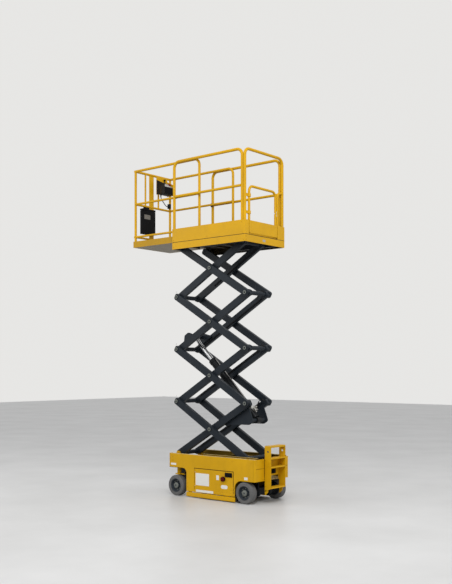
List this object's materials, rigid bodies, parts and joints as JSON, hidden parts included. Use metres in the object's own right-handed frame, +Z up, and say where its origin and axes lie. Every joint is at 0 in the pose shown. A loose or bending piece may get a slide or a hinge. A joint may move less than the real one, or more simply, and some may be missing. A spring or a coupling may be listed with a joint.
{
  "type": "scissor lift",
  "caption": "Compact electric scissor lift with crossed arm stages, a railed platform with a roll-out deck extension, swing-out trays, pothole guards and steered front wheels.",
  "frame": {"origin": "on the floor under the middle of the whole machine, with its extension out", "axes": "+X to the machine's front, where its deck extension rolls out; +Y to its left; +Z up"},
  "size_m": [2.374, 0.88, 4.742],
  "materials": {
    "yellow_paint": "satin",
    "deck_paint": "satin",
    "arm_paint": "satin",
    "running_gear": "satin",
    "cylinder_paint": "satin",
    "polished_rod": "polished",
    "tyre": "matte",
    "black_plastic": "matte",
    "battery": "matte",
    "cable": "matte"
  },
  "bodies": {
    "chassis": {"chassis_floor": "yellow_paint", "chassis_skirt_left": "yellow_paint", "chassis_skirt_right": "yellow_paint", "chassis_rear_end": "yellow_paint", "chassis_front_end": "yellow_paint", "chassis_side_frames": "yellow_paint", "base_pivot_lugs": "yellow_paint", "rear_axle": "running_gear", "battery_pack": "battery", "ladder": "yellow_paint"},
    "tray_door_left": {"tray_door_left": "yellow_paint", "ground_controls": "black_plastic"},
    "tray_door_right": {"tray_door_right": "yellow_paint"},
    "pothole_guard_left": {"pothole_guard_left": "yellow_paint"},
    "pothole_guard_right": {"pothole_guard_right": "yellow_paint"},
    "rear_wheel_left": {"tyre_rear_left": "tyre", "rim_rear_left": "running_gear"},
    "rear_wheel_right": {"tyre_rear_right": "tyre", "rim_rear_right": "running_gear"},
    "front_wheel_left": {"tyre_front_left": "tyre", "rim_front_left": "running_gear"},
    "front_wheel_right": {"tyre_front_right": "tyre", "rim_front_right": "running_gear"},
    "knuckle_left": {"knuckle_left": "running_gear"},
    "knuckle_right": {"knuckle_right": "running_gear"},
    "steering_link": {"steering_link": "running_gear"},
    "inner_1": {"inner_arm_frame_1": "arm_paint", "cylinder_lower_mount": "arm_paint"},
    "outer_1": {"outer_arms_1": "arm_paint"},
    "inner_2": {"inner_arm_frame_2": "arm_paint"},
    "outer_2": {"outer_arms_2": "arm_paint"},
    "inner_3": {"inner_arm_frame_3": "arm_paint", "cylinder_upper_mount": "arm_paint"},
    "outer_3": {"outer_arms_3": "arm_paint"},
    "inner_4": {"inner_arm_frame_4": "arm_paint"},
    "outer_4": {"outer_arms_4": "arm_paint"},
    "cylinder_barrel": {"lift_cylinder_barrel": "cylinder_paint"},
    "cylinder_rod": {"lift_cylinder_rod": "polished_rod"},
    "platform": {"platform_frame": "yellow_paint", "platform_deck": "deck_paint", "toe_boards": "yellow_paint", "platform_tracks": "deck_paint", "platform_pivot_lugs": "deck_paint", "main_rail_left": "yellow_paint", "main_rail_right": "yellow_paint", "rear_rail": "yellow_paint"},
    "gate": {"gate": "yellow_paint"},
    "extension": {"extension_deck": "deck_paint", "extension_rail_left": "yellow_paint", "extension_rail_right": "yellow_paint", "extension_front_rail": "yellow_paint", "manual_box": "black_plastic", "console_guard": "yellow_paint", "platform_console": "black_plastic", "cable_fittings": "black_plastic", "console_cable": "cable"}
  },
  "joints": [
    {"name": "scissor_lift", "type": "hinge", "parent": "chassis", "child": "inner_1", "pos_m": [0.423, 0, 0.587], "axis": [0, 1, 0], "range_deg": [-26.6, 29.2]},
    {"name": "stage_1_centre", "type": "hinge", "parent": "inner_1", "child": "outer_1", "pos_m": [-0.20404, 0, 0.96079], "axis": [0, -1, 0], "range_deg": [-53.2, 58.4]},
    {"name": "stage_1_front_pin", "type": "hinge", "parent": "outer_1", "child": "inner_2", "pos_m": [0.423, 0, 1.33458], "axis": [0, 1, 0], "range_deg": [-53.2, 58.4]},
    {"name": "stage_2_centre", "type": "hinge", "parent": "inner_2", "child": "outer_2", "pos_m": [-0.20404, 0, 1.70837], "axis": [0, -1, 0], "range_deg": [-53.2, 58.4]},
    {"name": "stage_2_front_pin", "type": "hinge", "parent": "outer_2", "child": "inner_3", "pos_m": [0.423, 0, 2.08216], "axis": [0, 1, 0], "range_deg": [-53.2, 58.4]},
    {"name": "stage_3_centre", "type": "hinge", "parent": "inner_3", "child": "outer_3", "pos_m": [-0.20404, 0, 2.45596], "axis": [0, -1, 0], "range_deg": [-53.2, 58.4]},
    {"name": "stage_3_front_pin", "type": "hinge", "parent": "outer_3", "child": "inner_4", "pos_m": [0.423, 0, 2.82975], "axis": [0, 1, 0], "range_deg": [-53.2, 58.4]},
    {"name": "stage_4_centre", "type": "hinge", "parent": "inner_4", "child": "outer_4", "pos_m": [-0.20404, 0, 3.20354], "axis": [0, -1, 0], "range_deg": [-53.2, 58.4]},
    {"name": "platform_pivot", "type": "hinge", "parent": "outer_4", "child": "platform", "pos_m": [0.33281, 0, 3.52357], "axis": [0, 1, 0], "range_deg": [-26.6, 29.2]},
    {"name": "cylinder_pivot", "type": "hinge", "parent": "inner_1", "child": "cylinder_barrel", "pos_m": [-0.83367, 0, 1.09979], "axis": [0, -1, 0], "range_deg": [-48.5, 53.2]},
    {"name": "cylinder_stroke", "type": "slide", "parent": "cylinder_barrel", "child": "cylinder_rod", "axis": [0.7007, 0, 0.7135], "range_m": [-0.335, 0.3675]},
    {"name": "extension_slide", "type": "slide", "parent": "platform", "child": "extension", "axis": [1, 0, 0], "range_m": [-0.794, 0]},
    {"name": "gate_hinge", "type": "hinge", "parent": "platform", "child": "gate", "pos_m": [-0.945, 0.326, 3.9], "axis": [0, 0, 1], "range_deg": [0, 90]},
    {"name": "tray_door_left_hinge", "type": "hinge", "parent": "chassis", "child": "tray_door_left", "pos_m": [-0.0205, 0.3843, 0.26], "axis": [0, 0, -1], "range_deg": [0, 110]},
    {"name": "tray_door_right_hinge", "type": "hinge", "parent": "chassis", "child": "tray_door_right", "pos_m": [-0.0205, -0.3843, 0.26], "axis": [0, 0, 1], "range_deg": [0, 110]},
    {"name": "pothole_guard_left_hinge", "type": "hinge", "parent": "chassis", "child": "pothole_guard_left", "pos_m": [-0.3, 0.368, 0.1062], "axis": [-1, 0, 0], "range_deg": [0, 80]},
    {"name": "pothole_guard_right_hinge", "type": "hinge", "parent": "chassis", "child": "pothole_guard_right", "pos_m": [-0.3, -0.368, 0.1062], "axis": [1, 0, 0], "range_deg": [0, 80]},
    {"name": "rear_wheel_left_spin", "type": "hinge", "parent": "chassis", "child": "rear_wheel_left", "pos_m": [-0.9, 0.328, 0.146], "axis": [0, 1, 0], "continuous": true},
    {"name": "rear_wheel_right_spin", "type": "hinge", "parent": "chassis", "child": "rear_wheel_right", "pos_m": [-0.9, -0.328, 0.146], "axis": [0, 1, 0], "continuous": true},
    {"name": "steering", "type": "hinge", "parent": "chassis", "child": "knuckle_left", "pos_m": [0.341, 0.3, 0.35], "axis": [0, 0, 1], "range_deg": [-60, 60]},
    {"name": "steering_right", "type": "hinge", "parent": "chassis", "child": "knuckle_right", "pos_m": [0.341, -0.3, 0.35], "axis": [0, 0, 1], "range_deg": [-60, 60]},
    {"name": "steering_link_pivot", "type": "hinge", "parent": "knuckle_left", "child": "steering_link", "pos_m": [0.241, 0.3, 0.32], "axis": [0, 0, 1], "range_deg": [-60, 60]},
    {"name": "front_wheel_left_spin", "type": "hinge", "parent": "knuckle_left", "child": "front_wheel_left", "pos_m": [0.341, 0.328, 0.146], "axis": [0, 1, 0], "continuous": true},
    {"name": "front_wheel_right_spin", "type": "hinge", "parent": "knuckle_right", "child": "front_wheel_right", "pos_m": [0.341, -0.328, 0.146], "axis": [0, 1, 0], "continuous": true}
  ],
  "couplings": [
    {"joint": "stage_1_centre", "follows": "scissor_lift", "ratio": 2},
    {"joint": "stage_1_front_pin", "follows": "scissor_lift", "ratio": 2},
    {"joint": "stage_2_centre", "follows": "scissor_lift", "ratio": 2},
    {"joint": "stage_2_front_pin", "follows": "scissor_lift", "ratio": 2},
    {"joint": "stage_3_centre", "follows": "scissor_lift", "ratio": 2},
    {"joint": "stage_3_front_pin", "follows": "scissor_lift", "ratio": 2},
    {"joint": "stage_4_centre", "follows": "scissor_lift", "ratio": 2},
    {"joint": "platform_pivot", "follows": "scissor_lift", "ratio": 1},
    {"joint": "cylinder_pivot", "follows": "scissor_lift", "ratio": 1.82},
    {"joint": "cylinder_stroke", "follows": "scissor_lift", "m_per_rad": 0.72},
    {"joint": "steering_right", "follows": "steering", "ratio": 1},
    {"joint": "steering_link_pivot", "follows": "steering", "ratio": -1}
  ]
}
